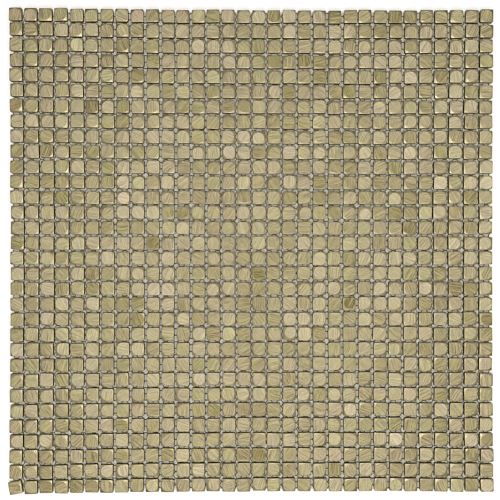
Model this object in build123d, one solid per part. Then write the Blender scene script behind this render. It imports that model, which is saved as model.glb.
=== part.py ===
from build123d import *
import math
import os
import random

# A sheet of small square brass chips, laid by hand on an open net of glass threads.
# Millimetres and degrees. The origin is under the middle of the sheet, at the net's back;
# +X runs along the rows, +Y towards the first row, and +Z out of the chips' sanded faces.

# Chips
chips_per_side = 32
chip_side = 8.0
chip_thickness = 5.0
side_spread = 0.15  # how far a sawn side may be over or under its size

# How the chips lie
joint_width = 1.35  # between chips at the middle of the sheet
chip_shift = 0.28  # furthest a chip lies from its place in the grid, each way
chip_turn = 1.6  # furthest a chip is turned
loose_chip_turn = 10.0  # the first chip of the last row has come round on the net
corner_flare = 1.1  # the sheet's corners stand this far out past the middles of its edges
left_stretch = 0.7  # the left corners lie this much further apart, each way, and the right ones nearer
layout_seed = 7

# Net
thread_pitch = 4.1
thread_width = 0.7
thread_thickness = 0.2
net_margin = 0.9  # the net is trimmed this far inside the outer chips' edges

# What follows from those sizes
chip_pitch = chip_side + joint_width
field_reach = (chips_per_side - 1) / 2 * chip_pitch  # to the centres of the outer chips
net_thickness = 2 * thread_thickness  # one layer of threads lies on the other
net_reach = field_reach + chip_side / 2 - net_margin
threads_beside_middle = math.floor((net_reach - thread_width / 2) / thread_pitch)

layout = random.Random(layout_seed)


def uneven(furthest):
    return layout.uniform(-furthest, furthest)


def grid_place(row, column):
    """The middle of a chip's place, in a field that flares at its corners and is longer on its left."""
    x = column * chip_pitch - field_reach
    y = field_reach - row * chip_pitch
    flare = corner_flare / field_reach**3
    stretch = left_stretch / field_reach**2
    return x + flare * x * y**2, y + flare * y * x**2 - stretch * x * y


def chip(row, column):
    """One chip, a square prism standing on the net."""
    x, y = grid_place(row, column)
    is_loose = row == chips_per_side - 1 and column == 0
    if is_loose:
        shift_x, shift_y, turn = 0, 0, loose_chip_turn
    else:
        shift_x, shift_y, turn = uneven(chip_shift), uneven(chip_shift), uneven(chip_turn)
    place = Location((x + shift_x, y + shift_y, net_thickness), (0, 0, turn))
    face = Rectangle(chip_side + uneven(side_spread), chip_side + uneven(side_spread))
    return extrude(place * face, chip_thickness)


def chip_row(row):
    """The chips of one row, each apart from its neighbours by a joint."""
    return [chip(row, column) for column in range(chips_per_side)]


def thread_layer(turn, back):
    """Flat threads side by side, turned about +Z, with their backs at one height."""
    thread = extrude(Rectangle(2 * net_reach, thread_width), thread_thickness)
    steps = range(-threads_beside_middle, threads_beside_middle + 1)
    return [Rot(0, 0, turn) * Pos(0, step * thread_pitch, back) * thread for step in steps]


def write_node(name, pieces):
    solids = [piece.solid() for piece in pieces]
    export_step(Compound(solids), os.path.join("parts", name + ".step"))


os.makedirs("parts", exist_ok=True)
write_node("net_weft_threads", thread_layer(turn=0, back=0))
write_node("net_warp_threads", thread_layer(turn=90, back=thread_thickness))
for row in range(chips_per_side):
    write_node(f"chip_row_{row + 1:02d}", chip_row(row))
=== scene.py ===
import math

import bpy
import numpy as np
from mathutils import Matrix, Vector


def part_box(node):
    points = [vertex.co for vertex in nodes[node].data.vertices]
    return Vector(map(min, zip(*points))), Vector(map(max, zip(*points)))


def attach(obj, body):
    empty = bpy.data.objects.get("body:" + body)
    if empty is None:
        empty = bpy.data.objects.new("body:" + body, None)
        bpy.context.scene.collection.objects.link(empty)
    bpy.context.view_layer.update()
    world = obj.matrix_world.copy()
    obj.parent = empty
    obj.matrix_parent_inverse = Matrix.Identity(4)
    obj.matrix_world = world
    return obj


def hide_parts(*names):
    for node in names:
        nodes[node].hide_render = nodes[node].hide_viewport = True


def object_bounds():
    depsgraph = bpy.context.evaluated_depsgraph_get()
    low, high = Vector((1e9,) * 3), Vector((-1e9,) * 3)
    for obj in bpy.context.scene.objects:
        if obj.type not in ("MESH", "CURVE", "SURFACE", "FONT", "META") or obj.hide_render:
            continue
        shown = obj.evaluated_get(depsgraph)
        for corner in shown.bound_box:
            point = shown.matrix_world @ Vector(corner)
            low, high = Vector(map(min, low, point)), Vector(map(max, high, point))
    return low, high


# Brass mosaic sheet on a thread net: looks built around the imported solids, in metres

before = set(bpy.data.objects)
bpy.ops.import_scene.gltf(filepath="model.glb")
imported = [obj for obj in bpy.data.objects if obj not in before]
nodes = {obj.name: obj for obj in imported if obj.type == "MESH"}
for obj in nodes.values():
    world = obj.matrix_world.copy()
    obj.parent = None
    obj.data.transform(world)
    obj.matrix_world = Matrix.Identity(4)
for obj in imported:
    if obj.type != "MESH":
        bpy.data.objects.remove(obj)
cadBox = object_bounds()
millimetre = 0.001
fullTurn = 6.3  # range of a random phase, a little over two pi
print("frame loaded with", len(nodes), "nodes")


# Small helpers

def paint(red, green, blue):
    # a colour as seen on screen, 0 to 255, turned into the linear one that shaders take
    def linear(value):
        share = value / 255
        return share / 12.92 if share <= 0.04045 else ((share + 0.055) / 1.055) ** 2.4
    return (linear(red), linear(green), linear(blue), 1.0)


def meshPiece(name, points, faces, material):
    mesh = bpy.data.meshes.new(name)
    mesh.from_pydata(points.tolist(), [], faces)
    mesh.shade_smooth()
    mesh.materials.append(material)
    piece = bpy.data.objects.new(name, mesh)
    bpy.context.scene.collection.objects.link(piece)
    return piece


def giveAttribute(piece, name, kind, values):
    field = "color" if kind == "FLOAT_COLOR" else "vector"
    attribute = piece.data.attributes.new(name, kind, "POINT")
    attribute.data.foreach_set(field, np.ascontiguousarray(values, dtype=np.float32).ravel())


class Shader:
    # a node tree with short calls for the nodes that the finishes need
    def __init__(self, tree):
        self.tree = tree

    def node(self, kind, **settings):
        made = self.tree.nodes.new(kind)
        for name, value in settings.items():
            setattr(made, name, value)
        return made

    def feed(self, socket, value):
        if isinstance(value, bpy.types.NodeSocket):
            self.tree.links.new(value, socket)
        else:
            socket.default_value = value

    def math(self, operation, first, second=0.0):
        made = self.node("ShaderNodeMath", operation=operation)
        self.feed(made.inputs[0], first)
        self.feed(made.inputs[1], second)
        return made.outputs[0]

    def add(self, first, second):
        return self.math("ADD", first, second)

    def times(self, first, second):
        return self.math("MULTIPLY", first, second)

    def without(self, mask):
        return self.math("SUBTRACT", 1.0, mask)

    def mix(self, share, first, second, blend="MIX"):
        made = self.node("ShaderNodeMix", data_type="RGBA", blend_type=blend)
        self.feed(made.inputs[0], share)
        self.feed(made.inputs[6], first)
        self.feed(made.inputs[7], second)
        return made.outputs[2]

    def span(self, value, fromLow, fromHigh, toLow, toHigh):
        made = self.node("ShaderNodeMapRange", clamp=True)
        for place, entry in enumerate((value, fromLow, fromHigh, toLow, toHigh)):
            self.feed(made.inputs[place], entry)
        return made.outputs[0]

    def stretch(self, vector, factors):
        made = self.node("ShaderNodeVectorMath", operation="MULTIPLY")
        self.feed(made.inputs[0], vector)
        made.inputs[1].default_value = factors
        return made.outputs[0]

    def noise(self, vector, scale, detail=2.0, roughness=0.5):
        made = self.node("ShaderNodeTexNoise")
        self.feed(made.inputs["Vector"], vector)
        self.feed(made.inputs["Scale"], scale)
        made.inputs["Detail"].default_value = detail
        made.inputs["Roughness"].default_value = roughness
        return made.outputs["Fac"]

    def attribute(self, name):
        return self.node("ShaderNodeAttribute", attribute_name=name).outputs

    def parts(self, vector):
        made = self.node("ShaderNodeSeparateXYZ")
        self.feed(made.inputs[0], vector)
        return made.outputs

    def mottle(self, place, driftScale, speckleScale=0.0):
        # the shared mottle group, at the scales of one finish
        made = self.node("ShaderNodeGroup", node_tree=mottleTree)
        self.feed(made.inputs["Place"], place)
        made.inputs["Drift Scale"].default_value = driftScale
        made.inputs["Speckle Scale"].default_value = speckleScale
        return made.outputs

    def bump(self, height, strength, distance):
        made = self.node("ShaderNodeBump")
        made.inputs["Strength"].default_value = strength
        made.inputs["Distance"].default_value = distance
        self.feed(made.inputs["Height"], height)
        return made.outputs[0]


def newFinish(name):
    material = bpy.data.materials.new(name)
    material.use_nodes = True
    shader = Shader(material.node_tree)
    surface = material.node_tree.nodes["Principled BSDF"]
    return material, shader, surface


# Mottle: a slow drift and a fine speckle, shared by the brass, the threads and the floor

def mottleGroup():
    group = bpy.data.node_groups.new("mottle", "ShaderNodeTree")
    group.interface.new_socket("Place", in_out="INPUT", socket_type="NodeSocketVector")
    for name in ("Drift", "Speckle"):
        group.interface.new_socket(name + " Scale", in_out="INPUT", socket_type="NodeSocketFloat")
        group.interface.new_socket(name, in_out="OUTPUT", socket_type="NodeSocketFloat")
    shader = Shader(group)
    inlet = shader.node("NodeGroupInput").outputs
    outlet = shader.node("NodeGroupOutput").inputs
    usual = (0.3, 0.7)  # noise seldom leaves this range
    for name, detail in (("Drift", 2.0), ("Speckle", 3.0)):
        texture = shader.noise(inlet["Place"], inlet[name + " Scale"], detail)
        shader.feed(outlet[name], shader.span(texture, *usual, 0.0, 1.0))
    return group


mottleTree = mottleGroup()


# Brass finish: sanded faces, unsanded corners, worn rims that carry a painted highlight, and dark walls

brassLook = {
    "sandedKhaki": paint(141, 135, 97),
    "sandedRose": paint(151, 138, 113),
    "sandedGold": paint(157, 141, 93),
    "cornerPatina": paint(134, 124, 91),
    "cornerStain": paint(92, 79, 46),
    # top edge colour, a little lighter: partly real wear, partly a painted highlight
    "wornRimAndSheen": paint(140, 134, 106),
    "wallPatina": paint(144, 129, 86),
    "driftScale": 330.0,  # per metre, as the other scales are
    "speckleScale": 1900.0,
    "blushScale": 600.0,
    "blushSpan": (0.5, 0.7, 0.0, 0.7),  # noise where rosy patches start and are full, and how strong they get
    "goldSpan": (0.55, 1.0, 0.0, 0.6),  # the same for golden ones
    "lightSpread": (0.26, 0.28, 0.42),  # how much lighter one chip is than another: red, green and blue
    "streakDepth": 0.38,  # how dark the sanding marks go
    "streakSpan": (0.43, 0.57),  # noise that gives the darkest and the lightest mark
    "grainDepth": 0.22,  # how uneven the metal is at close range
    "markScale": (130.0, 2600.0, 1000.0),  # fine marks: along, across, and from chip to chip
    "grooveScale": (90.0, 2300.0, 1000.0),  # coarse ones
    "markShare": 0.5,  # how much of the sanding is fine
    "grooveBend": 0.25 * millimetre,  # how far the marks wander off a straight line
    "markHeight": 0.03 * millimetre,
    "markRelief": 0.5,
    "markRoughness": 0.06,
    "stainSpeckle": 0.25,  # how much of a corner's stain is specks
    "rimWearAndSheen": 0.4,
    "wallStain": 0.4,
    "sandedRoughness": 0.58,
    "cornerRoughness": 0.35,
    "wallRoughness": 0.68,
    "polish": 0.5,  # shine that the unsanded corners have over their colour
    "polishRoughness": 0.3,
    "metallic": 0.8,
    "wallMetallic": 0.4,
}


def brassFinish(look):
    material, shader, surface = newFinish("sandedBrass")
    zones = shader.attribute("zones")
    split = shader.node("ShaderNodeSeparateColor")
    shader.feed(split.inputs[0], zones["Color"])
    sanded, rim, wall = split.outputs
    grain = shader.attribute("grain")["Vector"]
    light, warm, mark = shader.parts(shader.attribute("chipTone")["Vector"])
    drift, speckle = shader.mottle(grain, look["driftScale"], look["speckleScale"])

    # sanding marks: fine ones and coarse ones, both bent a little
    bend = shader.node("ShaderNodeCombineXYZ")
    shader.feed(bend.inputs[1], shader.times(drift, look["grooveBend"]))
    bent = shader.node("ShaderNodeVectorMath", operation="ADD")
    shader.feed(bent.inputs[0], grain)
    shader.feed(bent.inputs[1], bend.outputs[0])
    marks = shader.noise(shader.stretch(bent.outputs[0], look["markScale"]), 1.0, 2.0, 0.6)
    grooves = shader.noise(shader.stretch(bent.outputs[0], look["grooveScale"]), 1.0, 1.0)
    fine = shader.times(marks, look["markShare"])
    coarse = shader.times(grooves, 1 - look["markShare"])
    streak = shader.span(shader.add(fine, coarse), *look["streakSpan"], -1.0, 1.0)
    streak = shader.times(streak, mark)

    # sanded metal
    tone = shader.mix(shader.span(warm, -1.0, 1.0, 0.0, 1.0), look["sandedKhaki"], look["sandedRose"])
    blush = shader.noise(grain, look["blushScale"])
    tone = shader.mix(shader.span(blush, *look["blushSpan"]), tone, look["sandedRose"])
    tone = shader.mix(shader.span(drift, *look["goldSpan"]), tone, look["sandedGold"])
    shade = shader.add(shader.times(streak, look["streakDepth"]), 1.0)
    shade = shader.add(shade, shader.span(speckle, 0.0, 1.0, -look["grainDepth"], look["grainDepth"]))
    tint = shader.node("ShaderNodeCombineColor")
    for socket, spread in zip(tint.inputs, look["lightSpread"]):
        shader.feed(socket, shader.add(shader.times(light, spread), shade))
    worn = shader.mix(1.0, tone, tint.outputs[0], "MULTIPLY")

    # corners, rims (worn, with a painted highlight) and walls
    stain = shader.times(zones["Alpha"], 1 - look["stainSpeckle"])
    stain = shader.add(stain, shader.times(speckle, look["stainSpeckle"]))
    patina = shader.mix(stain, look["cornerPatina"], look["cornerStain"])
    top = shader.mix(sanded, patina, worn)
    # lighten the top edge: partly real wear, partly a painted highlight
    top = shader.mix(shader.times(rim, look["rimWearAndSheen"]), top, look["wornRimAndSheen"])
    dark = shader.mix(shader.times(drift, look["wallStain"]), look["wallPatina"], look["cornerStain"])
    shader.feed(surface.inputs["Base Color"], shader.mix(wall, top, dark))

    rough = shader.span(sanded, 0.0, 1.0, look["cornerRoughness"], look["sandedRoughness"])
    rough = shader.add(rough, shader.times(streak, look["markRoughness"]))
    rough = shader.add(rough, shader.times(wall, look["wallRoughness"] - look["cornerRoughness"]))
    shader.feed(surface.inputs["Roughness"], rough)
    metal = shader.span(wall, 0.0, 1.0, look["metallic"], look["wallMetallic"])
    shader.feed(surface.inputs["Metallic"], metal)
    bare = shader.times(shader.without(sanded), shader.without(wall))
    shader.feed(surface.inputs["Coat Weight"], shader.times(bare, look["polish"]))
    surface.inputs["Coat Roughness"].default_value = look["polishRoughness"]
    relief = shader.bump(shader.times(streak, sanded), look["markRelief"], look["markHeight"])
    shader.feed(surface.inputs["Normal"], relief)
    return material


# Chips: each is read from its solid, then given round corners, a sanded face and a worn rim with a painted
# highlight

chipLook = {
    "cornerRadius": (0.2, 0.4, 1.2),  # of the upright edges: least, usual and most, mm
    "sharpest": 0.12,  # corner radius that is left further in on the face, mm
    "rim": 0.07,  # rounding of the top edge, mm
    "lean": 0.03,  # how far the wall comes in from foot to rim, mm
    "foot": 0.15,  # rounding of the lower edge, mm
    "wobble": 0.05,  # how far the outline wanders inwards, mm
    "roll": 0.2,  # width of the soft roll-off before the top edge, mm
    "rollFall": (0.006, 0.04),  # how far the face falls in that width, mm
    "sandedRadius": (3.35, 3.8, 4.5),  # of the round sanded face: least, usual and most, mm
    "sandedOffset": 0.6,  # how far that face is off the chip's middle, mm
    "sandedFade": 0.05,  # width of the line where the sanding ends, mm
    "sandedMost": 0.96,  # how much of the way to the roll-off it may reach
    "innerRing": 0.965,  # ring just inside its end, as a share of its reach
    "outerRing": 0.3,  # ring outside its end, as a share of what is left
    "cornerSlope": 0.18,  # fall of the unsanded corners
    "tilt": 1.3,  # how far a sanded face is out of level, degrees
    "rimWornAndSheen": 0.4,  # how bare the top edge is, and so how much painted highlight it carries
    "rimPatina": 0.06,  # and how much of the wall's patina is on its rounding
    "toneSpread": 0.45,  # from chip to chip
    "warmSpread": 0.5,
    "markRange": (0.6, 0.95),  # how strongly a chip is marked by sanding
    "grainReach": 900.0,  # how far apart the chips take their grain from, mm
    "pointsPerCorner": 5,
    "pointsPerSide": 3,
    "rowsPerPiece": 2,
    "seed": 23,
}


def flatFaces(node, up):
    # every flat end of a chip is two right triangles, and their long edge crosses the chip's middle
    mesh = nodes[node].data
    levelEnough = 0.9
    found = {}
    for face in mesh.polygons:
        if face.normal.z * up < levelEnough:
            continue
        corners = [np.array(mesh.vertices[index].co) for index in face.vertices]
        spans = [np.linalg.norm(corners[k - 1] - corners[k - 2]) for k in range(3)]
        square = int(np.argmax(spans))  # the corner across from the long edge
        ends = [corners[square - 1], corners[square - 2]]
        legs = sorted((end - corners[square] for end in ends), key=lambda leg: -abs(leg[0]))
        middle = (ends[0] + ends[1]) / 2
        along = legs[0] * np.sign(legs[0][0])
        turn = math.atan2(along[1], along[0])
        sides = [np.linalg.norm(leg) for leg in legs]
        found[round(middle[0], 4)] = (*middle, turn, *sides)
    return np.array([found[key] for key in sorted(found)])


def outlinePattern(look):
    # points round a square with arcs at its corners: two corners, the share of the second, and a direction
    quarter = math.pi / 2
    pattern = []
    for corner in range(4):
        start = quarter * corner
        for step in range(look["pointsPerCorner"]):
            pattern.append((corner, corner, 0.0, start + quarter * step / (look["pointsPerCorner"] - 1)))
        for step in range(look["pointsPerSide"]):
            share = (step + 1) / (look["pointsPerSide"] + 1)
            pattern.append((corner, (corner + 1) % 4, share, start + quarter))
    first, second, share, angle = np.array(pattern).T
    return first.astype(int), second.astype(int), share, np.stack([np.cos(angle), np.sin(angle)], 1)


cornerSigns = np.array([(1, 1), (-1, 1), (-1, -1), (1, -1)])


def roundedOutline(half, radius, pattern):
    # half sizes and four corner radii of each chip give its outline
    first, second, share, outward = pattern

    def arcPoint(corner):
        core = cornerSigns[corner] * (half[:, None, :] - radius[:, corner, None])
        return core + radius[:, corner, None] * outward
    return arcPoint(first) * (1 - share)[:, None] + arcPoint(second) * share[:, None]


def chipFaces(rings, points):
    # a fan on the sanded face, bands down to the foot, and a fan underneath
    faces = []
    last = rings * points + 1
    foot = last - points
    for point in range(points):
        after = (point + 1) % points
        faces.append((0, 1 + point, 1 + after))
        for ring in range(rings - 1):
            upper = 1 + ring * points
            lower = upper + points
            faces.append((upper + point, lower + point, lower + after, upper + after))
        faces.append((last, foot + after, foot + point))
    return faces, last + 1


def chipShapes(tops, feet, look, chance):
    # places of all vertices of the chips in one piece, in mm about each chip's middle, and their zones
    count = len(tops)
    pattern = outlinePattern(look)
    outward = pattern[3]
    points = len(outward)
    half = feet[:, 4:6] / 2 / millimetre
    radius = chance.triangular(*look["cornerRadius"], (count, 4))
    around = np.linspace(0, 2 * np.pi, points, endpoint=False)

    def waves(*counts):
        # a line that wanders between 0 and 1 round each outline
        line = np.zeros((count, points))
        for wave in counts:
            swing = chance.uniform(0, 1, (count, 1))
            line += swing * np.cos(wave * around + chance.uniform(0, fullTurn, (count, 1)))
        line -= line.min(1, keepdims=True)
        return line / line.max(1, keepdims=True)

    wobble = (look["wobble"] * waves(2, 3, 5, 7))[..., None] * outward
    least, most = look["rollFall"]
    rollFall = least + (most - least) * waves(1, 2, 3)

    def ring(inset):
        inner = np.maximum(radius - inset, look["sharpest"])
        return roundedOutline(half - inset, inner, pattern) - wobble

    thickness = (tops[:, 2] - feet[:, 2])[:, None] / millimetre
    centre = chance.uniform(-1, 1, (count, 1, 2)) * look["sandedOffset"]
    reach = chance.triangular(*look["sandedRadius"], (count, 1))
    tilt = np.tan(np.radians(chance.uniform(-1, 1, (count, 1, 2)) * look["tilt"]))

    edge = look["rim"] + look["lean"]
    rollStart = ring(edge + look["roll"])
    spoke = rollStart - centre
    sandedEnd = np.minimum(look["sandedMost"], reach / np.linalg.norm(spoke, axis=2))
    between = sandedEnd * (1 - look["outerRing"]) + look["outerRing"]

    def along(part):
        return centre + spoke * part[..., None]

    def distance(place):
        return np.linalg.norm(place - centre, axis=2)

    def height(place):
        beyond = np.maximum(0, distance(place) - reach)
        return (place * tilt).sum(2) - look["cornerSlope"] * beyond

    def sanded(place):
        return np.clip((reach - distance(place)) / look["sandedFade"], 0, 1)

    # just inside the end of the sanding, at it, a little further on, and where the face rolls off
    faceRings = [along(sandedEnd * look["innerRing"]), along(sandedEnd), along(between), rollStart]
    rimStart = ring(edge)
    rimHeight = height(rimStart) - rollFall
    peaks = [height(place).max(1) for place in faceRings]
    peaks += [height(centre)[:, 0], rimHeight.max(1)]
    crown = thickness - np.max(peaks, axis=0)[:, None]
    soft = look["rim"] * (1 - math.sqrt(0.5))
    flat = 0 * rimHeight

    # every ring: its outline, its height, and how far it is sanded, worn (partly a painted highlight) and
    # wall
    rings = [(place, crown + height(place), sanded(place), flat, flat) for place in faceRings]
    rings += [
        # the top edge: sanded like its face, and worn, which also paints a highlight on it
        (rimStart, crown + rimHeight, sanded(rimStart), flat + look["rimWornAndSheen"], flat),
        (ring(soft + look["lean"]), crown + rimHeight - soft, flat, flat, flat + look["rimPatina"]),
        (ring(look["lean"]), crown + rimHeight - look["rim"], flat, flat, flat + 1),
        (ring(0.0), flat + look["foot"], flat, flat, flat + 1),
        (ring(look["foot"]), flat, flat, flat, flat + 1),
    ]
    crownPoint = np.concatenate([centre, (crown + height(centre))[..., None]], 2)
    bands = [np.concatenate([place, level[..., None]], 2) for place, level, *_ in rings]
    shapes = np.concatenate([crownPoint, *bands, np.zeros((count, 1, 3))], 1)
    bandZones = [np.stack(zone, 2) for _, _, *zone in rings]
    topZone = np.broadcast_to((1.0, 0.0, 0.0), (count, 1, 3))
    underZone = np.broadcast_to((0.0, 0.0, 1.0), (count, 1, 3))
    creases = (1, len(faceRings))  # rings where the sanding ends and where the rim begins
    return shapes, np.concatenate([topZone, *bandZones, underZone], 1), len(rings), creases


def turned(shapes, angle):
    cosine, sine = np.cos(angle)[:, None], np.sin(angle)[:, None]
    result = shapes.copy()
    result[..., 0] = shapes[..., 0] * cosine - shapes[..., 1] * sine
    result[..., 1] = shapes[..., 0] * sine + shapes[..., 1] * cosine
    return result


def creaseRings(piece, oneChip, points, creases):
    edges = np.empty(len(piece.data.edges) * 2, dtype=np.int32)
    piece.data.edges.foreach_get("vertices", edges)
    ring = (edges.reshape(-1, 2) % oneChip - 1) // points
    sharp = piece.data.attributes.new("sharp_edge", "BOOLEAN", "EDGE")
    sharp.data.foreach_set("value", (ring[:, 0] == ring[:, 1]) & np.isin(ring[:, 0], creases))


def chipPiece(rows, material, look, chance):
    tops = np.concatenate([flatFaces(row, 1) for row in rows])
    feet = np.concatenate([flatFaces(row, -1) for row in rows])
    shapes, zones, rings, creases = chipShapes(tops, feet, look, chance)
    count, size = shapes.shape[:2]

    # sanding runs its own way on each chip
    grain = turned(shapes, -chance.uniform(0, np.pi, count))
    grain += chance.uniform(0, look["grainReach"], (count, 1, 3))
    light = chance.normal(0, look["toneSpread"], count)
    warm = chance.normal(0, look["warmSpread"], count)
    mark = chance.uniform(*look["markRange"], count)
    tones = np.stack([light, warm, mark], 1)
    placed = turned(shapes, tops[:, 3]) * millimetre + feet[:, None, :3]

    first, second, share, _ = outlinePattern(look)
    points = len(share)
    pattern, oneChip = chipFaces(rings, points)
    faces = []
    for chip in range(count):
        faces += [[corner + chip * oneChip for corner in face] for face in pattern]
    name = "chips_" + rows[0][-2:] + "_" + rows[-1][-2:]
    piece = meshPiece(name, placed.reshape(-1, 3), faces, material)
    creaseRings(piece, oneChip, points, creases)

    # each corner has its own stain
    stains = chance.uniform(0, 1, (count, 4))
    stains = stains[:, first] * (1 - share) + stains[:, second] * share
    colours = np.zeros((count, size, 4))
    colours[..., :3] = zones
    colours[:, 1:-1, 3] = np.tile(stains, rings)
    giveAttribute(piece, "zones", "FLOAT_COLOR", colours)
    giveAttribute(piece, "grain", "FLOAT_VECTOR", grain * millimetre)
    giveAttribute(piece, "chipTone", "FLOAT_VECTOR", np.repeat(tones[:, None], size, axis=1))
    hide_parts(*rows)
    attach(piece, "root")


brass = brassFinish(brassLook)
chance = np.random.default_rng(chipLook["seed"])
chipRows = sorted(name for name in nodes if name.startswith("chip_row_"))
for start in range(0, len(chipRows), chipLook["rowsPerPiece"]):
    chipPiece(chipRows[start:start + chipLook["rowsPerPiece"]], brass, chipLook, chance)
print("chips laid in", len(chipRows), "rows")


# Net: six-sided meshes, made by threads that wave up the sheet and short ties between them

netLook = {
    "meshStep": 3.22,  # from one thread to the next, mm
    "tieStep": 4.05,  # from one tie to the next along a thread, mm
    "threadWidth": 0.5,
    "tieWidth": 0.62,
    "tieTaper": (0.75, 1.0, 0.75),  # a tie's width at its ends and middle
    "thickness": 0.38,
    "wave": 0.55,  # how far a thread swings to each side, mm
    "kneeLength": 0.4,  # straight length of a thread at each tie, mm
    "wander": 0.1,  # how unevenly the meshes are knitted, mm
    "drift": 0.35,  # how far the net is pulled about, mm
    "driftWaves": (14.0, 23.0, 37.0),  # radians per metre
    "threadColour": paint(126, 111, 66),
    "fibreColour": paint(160, 144, 94),
    "driftScale": 90.0,
    "speckleScale": 1500.0,
    "twistScale": (900.0, 5200.0, 1000.0),  # fibres per metre: along, across, and from thread to thread
    "twistStep": 0.01,  # how far apart the threads take their fibres from
    "twistSpan": (0.35, 0.7),
    "twistRelief": 0.6,
    "twistHeight": 0.04 * millimetre,
    "leastFibre": 0.4,  # how much of the fibres shows where they are faintest
    "fuzz": 0.3,
    "roughness": 0.8,
    "shine": 0.15,
    "seed": 5,
}


def threadFinish(look):
    material, shader, surface = newFinish("netThread")
    fibre = shader.attribute("fibre")["Vector"]
    drift, speckle = shader.mottle(fibre, look["driftScale"], look["speckleScale"])
    twist = shader.noise(shader.stretch(fibre, look["twistScale"]), 1.0)
    strands = shader.span(twist, *look["twistSpan"], 0.0, 1.0)
    share = shader.times(strands, shader.span(drift, 0.0, 1.0, look["leastFibre"], 1.0))
    shader.feed(surface.inputs["Base Color"], shader.mix(share, look["threadColour"], look["fibreColour"]))
    surface.inputs["Roughness"].default_value = look["roughness"]
    surface.inputs["Specular IOR Level"].default_value = look["shine"]
    height = shader.add(twist, shader.times(speckle, look["fuzz"]))
    relief = shader.bump(height, look["twistRelief"], look["twistHeight"])
    shader.feed(surface.inputs["Normal"], relief)
    return material


def threadPiece(name, node, places, widths, material, look):
    # each thread follows a row of points, kept within the net's box, as a flat lozenge
    paths = np.full((*places.shape[:2], 3), netMiddle)
    paths[..., :2] = np.clip(places, netLow[:2], netHigh[:2])
    count, steps = paths.shape[:2]
    side = np.cross(np.gradient(paths, axis=1), (0, 0, 1))
    side /= np.linalg.norm(side, axis=2, keepdims=True)
    up = np.array((0, 0, 1)) * look["thickness"] / 2 * millimetre
    wide = side * np.asarray(widths)[:, None] / 2 * millimetre
    sections = np.stack([paths + wide, paths + up, paths - wide, paths - up], 2)
    corners = range(sections.shape[2])
    faces = []
    for thread in range(count):
        start = thread * steps * len(corners)
        end = start + (steps - 1) * len(corners)
        for here in range(start, end, len(corners)):
            there = here + len(corners)
            for corner in corners:
                after = (corner + 1) % len(corners)
                faces.append([here + corner, here + after, there + after, there + corner])
        faces.append([start + corner for corner in reversed(corners)])
        faces.append([end + corner for corner in corners])
    piece = meshPiece(name, sections.reshape(-1, 3), faces, material)

    # where each point is in the thread's own fibres: along, around, and apart from other threads
    fibre = np.zeros(sections.shape)
    run = np.linalg.norm(np.diff(paths, axis=1), axis=2).cumsum(1)
    fibre[:, 1:, :, 0] = run[..., None]
    fibre[..., 1] = np.array(corners) * look["threadWidth"] * millimetre
    fibre[..., 2] = np.arange(count)[:, None, None] * look["twistStep"]
    giveAttribute(piece, "fibre", "FLOAT_VECTOR", fibre)
    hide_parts(node)
    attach(piece, "root")


def evenPlaces(low, high, step):
    # places from one edge of the net to the other, as near to a step apart as fits
    return np.linspace(low, high, round((high - low) / (step * millimetre)) + 1)


def netKnees(threads, ties, look, chance):
    # the points where threads and ties meet: a grid of threads by half tie steps
    levels = np.linspace(ties[0], ties[-1], 2 * len(ties) - 1)
    across = threads[:, None]
    sway = (-1.0) ** np.add.outer(np.arange(len(threads)), np.arange(len(levels)))
    knees = np.empty((len(threads), len(levels), 2))
    knees[..., 0] = across + sway * look["wave"] * millimetre
    knees[..., 1] = levels
    knees += chance.normal(0, look["wander"], knees.shape) * millimetre
    pull = look["drift"] / len(look["driftWaves"]) * millimetre
    for wave in look["driftWaves"]:
        phase = chance.uniform(0, fullTurn, 4)
        knees[..., 0] += pull * np.sin(wave * levels + phase[0]) * np.cos(wave * across + phase[1])
        knees[..., 1] += pull * np.sin(wave * across + phase[2]) * np.cos(wave * levels + phase[3])
    return knees, sway


thread = threadFinish(netLook)
chance = np.random.default_rng(netLook["seed"])
netLow = np.array(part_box("net_weft_threads")[0])
netHigh = np.array(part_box("net_warp_threads")[1])
netMiddle = (netLow[2] + netHigh[2]) / 2
halfThread = netLook["threadWidth"] / 2 * millimetre
netThreads = evenPlaces(netLow[0] + halfThread, netHigh[0] - halfThread, netLook["meshStep"])
netTies = evenPlaces(netLow[1] + halfThread, netHigh[1] - halfThread, netLook["tieStep"])
knees, sway = netKnees(netThreads, netTies, netLook, chance)

# threads run straight for a little at each tie
halfKnee = netLook["kneeLength"] / 2 * millimetre
for first, name in ((0, "net_threads_even"), (1, "net_threads_odd")):
    turns = np.repeat(knees[first::2], 2, axis=1)
    turns[:, 0::2, 1] -= halfKnee
    turns[:, 1::2, 1] += halfKnee
    widths = np.full(turns.shape[1], netLook["threadWidth"])
    threadPiece(name, "net_warp_threads", turns, widths, thread, netLook)

# ties span from each knee that leans right to the next thread's
left, level = np.nonzero(sway[:-1] > 0)
ends = np.stack([knees[left, level], knees[left + 1, level]], 1)
steps = np.array((0.0, 0.5, 1.0))[None, :, None]
ties = ends[:, :1] * (1 - steps) + ends[:, 1:] * steps
widths = netLook["tieWidth"] * np.array(netLook["tieTaper"])
threadPiece("net_ties", "net_weft_threads", ties, widths, thread, netLook)
print("net laid with", len(netThreads), "threads and", len(ties), "ties")


# Floor, light and camera

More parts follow.
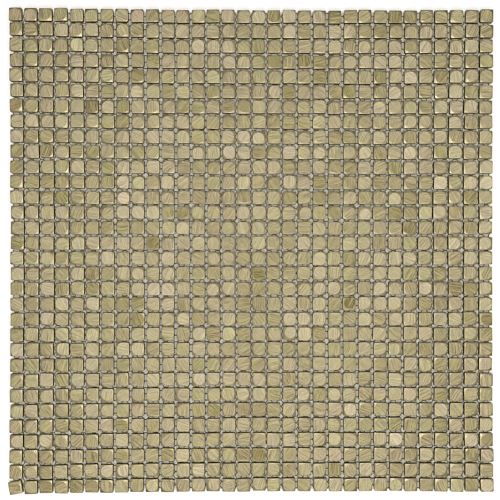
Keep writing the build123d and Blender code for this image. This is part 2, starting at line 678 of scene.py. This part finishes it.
stageLook = {
    "floorSize": 4.0,
    "floorDrop": 0.1 * millimetre,  # the net lies just clear of the floor
    "floorColour": (0.86, 0.86, 0.85, 1.0),
    "shadedColour": (0.69, 0.65, 0.55, 1.0),  # under the sheet
    "shadedReach": (0.149, 0.1475),  # from the middle to where that tone starts, and to where it is full
    "driftScale": 3.0,
    "floorShade": 0.97,  # the floor at its darkest
    "floorRoughness": 0.8,
    "skyColour": (1.0, 1.0, 1.0, 1.0),
    "skyStrength": 0.86,
    "lamps": {  # size, place and power of each soft light
        "overhead": ((0.26, 0.45), (0.0, -0.07, 1.2), 4.3),
        "front": ((0.5, 0.5), (0.0, -0.6, 1.0), 2.0),
        "back": ((0.5, 0.5), (0.0, 0.6, 1.0), 0.4),
        "left": ((0.5, 0.5), (-0.6, 0.0, 1.0), 0.8),
        "right": ((0.5, 0.5), (0.6, 0.0, 1.0), 1.2),
    },
    "sharpen": 0.18,
    "screenGamma": 2.2,
    "sensorWidth": 36.0,
    "cameraHeight": 0.85,
    "cameraPlace": (-0.0008, 0.0004),
    "frameWidth": 0.3093,  # what the picture spans at the chips' faces
}


def floorFinish(look):
    material, shader, surface = newFinish("paleFloor")
    place = shader.node("ShaderNodeTexCoord").outputs["Object"]
    drift = shader.mottle(place, look["driftScale"])["Drift"]
    across, along, _ = shader.parts(place)
    out = shader.math("MAXIMUM", shader.math("ABSOLUTE", across), shader.math("ABSOLUTE", along))
    under = shader.span(out, *look["shadedReach"], 0.0, 1.0)
    tone = shader.mix(under, look["floorColour"], look["shadedColour"])
    shade = shader.span(drift, 0.0, 1.0, look["floorShade"], 1.0)
    shader.feed(surface.inputs["Base Color"], shader.mix(1.0, tone, shade, "MULTIPLY"))
    surface.inputs["Roughness"].default_value = look["floorRoughness"]
    return material


def layFloor(look):
    half = look["floorSize"] / 2
    level = cadBox[0][2] - look["floorDrop"]
    signs = ((-1, -1), (1, -1), (1, 1), (-1, 1))
    corners = np.array([(half * across, half * along, level) for across, along in signs])
    floor = meshPiece("floor", corners, [(0, 1, 2, 3)], floorFinish(look))


def setLights(scene, look):
    scene.world = bpy.data.worlds.new("studio")
    scene.world.use_nodes = True
    sky = scene.world.node_tree.nodes["Background"]
    sky.inputs["Color"].default_value = look["skyColour"]
    sky.inputs["Strength"].default_value = look["skyStrength"]
    for name, (size, place, power) in look["lamps"].items():
        light = bpy.data.lights.new(name, "AREA")
        light.shape = "RECTANGLE"
        light.size, light.size_y = size
        light.energy = power
        lamp = bpy.data.objects.new(name, light)
        lamp.location = place
        lamp.rotation_euler = lamp.location.to_track_quat("Z", "Y").to_euler()
        scene.collection.objects.link(lamp)


def setCamera(scene, look):
    lens = bpy.data.cameras.new("camera")
    lens.sensor_width = look["sensorWidth"]
    reach = look["cameraHeight"] - cadBox[1][2]
    lens.lens = lens.sensor_width * reach / look["frameWidth"]
    camera = bpy.data.objects.new("camera", lens)
    camera.location = (*look["cameraPlace"], look["cameraHeight"])
    scene.collection.objects.link(camera)
    scene.camera = camera
    scene.view_settings.view_transform = "Standard"

    # a little sharpening, as a camera gives its pictures
    scene.use_nodes = True
    tree = scene.node_tree
    tree.nodes.clear()
    kinds = ("RLayers", "Gamma", "Filter", "Gamma", "Composite")
    chain = [tree.nodes.new("CompositorNode" + kind) for kind in kinds]
    chain[1].inputs["Gamma"].default_value = 1 / look["screenGamma"]
    chain[2].filter_type = "SHARPEN_DIAMOND"
    chain[2].inputs["Fac"].default_value = look["sharpen"]
    chain[3].inputs["Gamma"].default_value = look["screenGamma"]
    for before, after in zip(chain, chain[1:]):
        tree.links.new(before.outputs["Image"], after.inputs["Image"])


layFloor(stageLook)
setLights(bpy.context.scene, stageLook)
setCamera(bpy.context.scene, stageLook)
print("stage set")
